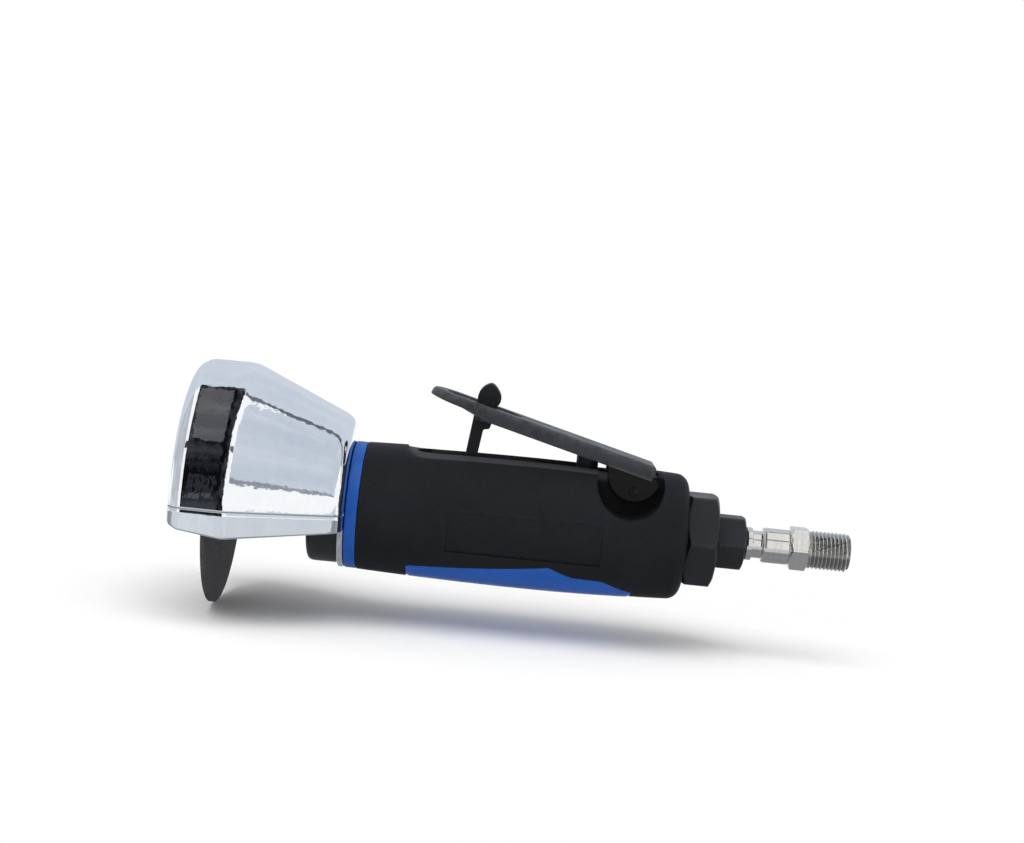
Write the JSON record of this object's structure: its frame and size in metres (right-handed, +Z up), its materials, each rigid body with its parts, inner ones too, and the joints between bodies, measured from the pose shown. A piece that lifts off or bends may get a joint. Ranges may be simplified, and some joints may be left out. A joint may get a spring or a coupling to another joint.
{
  "type": "pneumatic cut off tool",
  "caption": "In-line air cut off tool: thin abrasive wheel under a chromed half guard, rubber gripped vane motor body, throttle lever with safety lock, screwed air fitting.",
  "frame": {"origin": "on the tool axis at the shoulder of the air fitting's hose thread", "axes": "+X along the tool axis out of the air inlet, +Z up to the lever side, +Y to the left of a user who holds it"},
  "size_m": [0.2262, 0.09, 0.0842],
  "materials": {
    "chrome": "polished",
    "abrasive": "rough bonded grit",
    "black_metal": "satin black",
    "blue": "satin",
    "grip_rubber": "matt",
    "grey_steel": "dark satin",
    "black_plastic": "satin",
    "nickel": "bright plated",
    "housing_metal": "dark anodised",
    "steel": "turned",
    "dark_steel": "blackened",
    "brass": "turned",
    "felt": "felt",
    "vane": "laminate",
    "seal_rubber": "moulded"
  },
  "bodies": {
    "body": {"motor_housing": "housing_metal", "rubber_grip": "grip_rubber", "grip_inlay": "blue", "front_collar": "blue", "nose_piece": "housing_metal", "guard_nut": "black_metal", "shaft_seal": "felt", "front_end_plate": "housing_metal", "rear_end_plate": "housing_metal", "cylinder_liner": "steel", "locating_pins": "steel", "wave_washer": "steel", "front_bearing_outer": "steel", "rear_bearing_outer": "steel", "lever_pin": "dark_steel", "valve_bush": "brass", "valve_spring": "steel", "rear_cap": "black_metal", "cap_oring": "seal_rubber", "silencer_felt": "felt", "inlet_bushing": "black_metal", "inlet_screen": "steel", "air_nipple": "nickel", "nipple_seal": "seal_rubber"},
    "guard": {"wheel_guard": "chrome"},
    "rotor": {"rotor": "steel", "rotor_vanes": "vane", "front_bearing_inner": "steel", "front_bearing_balls": "steel", "rear_bearing_inner": "steel", "rear_bearing_balls": "steel", "wheel_arbor": "steel", "cutting_wheel": "abrasive", "outer_flange": "steel", "wheel_screw": "dark_steel"},
    "lever": {"throttle_lever": "grey_steel", "lock_pin": "dark_steel", "lock_spring": "steel"},
    "lock": {"safety_lock": "black_plastic"},
    "valve": {"valve_stem": "black_plastic", "valve_oring": "seal_rubber"}
  },
  "joints": [
    {"name": "wheel_spin", "type": "hinge", "parent": "body", "child": "rotor", "pos_m": [-0.2, 0, 0], "axis": [1, 0, 0], "continuous": true},
    {"name": "guard_turn", "type": "hinge", "parent": "body", "child": "guard", "pos_m": [-0.158, 0, 0], "axis": [1, 0, 0], "continuous": true},
    {"name": "lever_press", "type": "hinge", "parent": "body", "child": "lever", "pos_m": [-0.0617, 0, 0.01502], "axis": [0, -1, 0], "range_deg": [0, 9], "stiffness_Nm_per_rad": 1.2, "springref_deg": -8.59, "deforming": ["valve_spring"]},
    {"name": "lock_swing", "type": "hinge", "parent": "lever", "child": "lock", "pos_m": [-0.11532, 0, 0.0355], "axis": [0, 1, 0], "range_deg": [0, 81.5]},
    {"name": "valve_slide", "type": "slide", "parent": "body", "child": "valve", "axis": [0, 0, -1], "range_m": [0, 0.0028]}
  ],
  "couplings": [
    {"joint": "lock_swing", "follows": "lever_press", "ratio": 9},
    {"joint": "valve_slide", "follows": "lever_press", "m_per_rad": 0.0171}
  ]
}
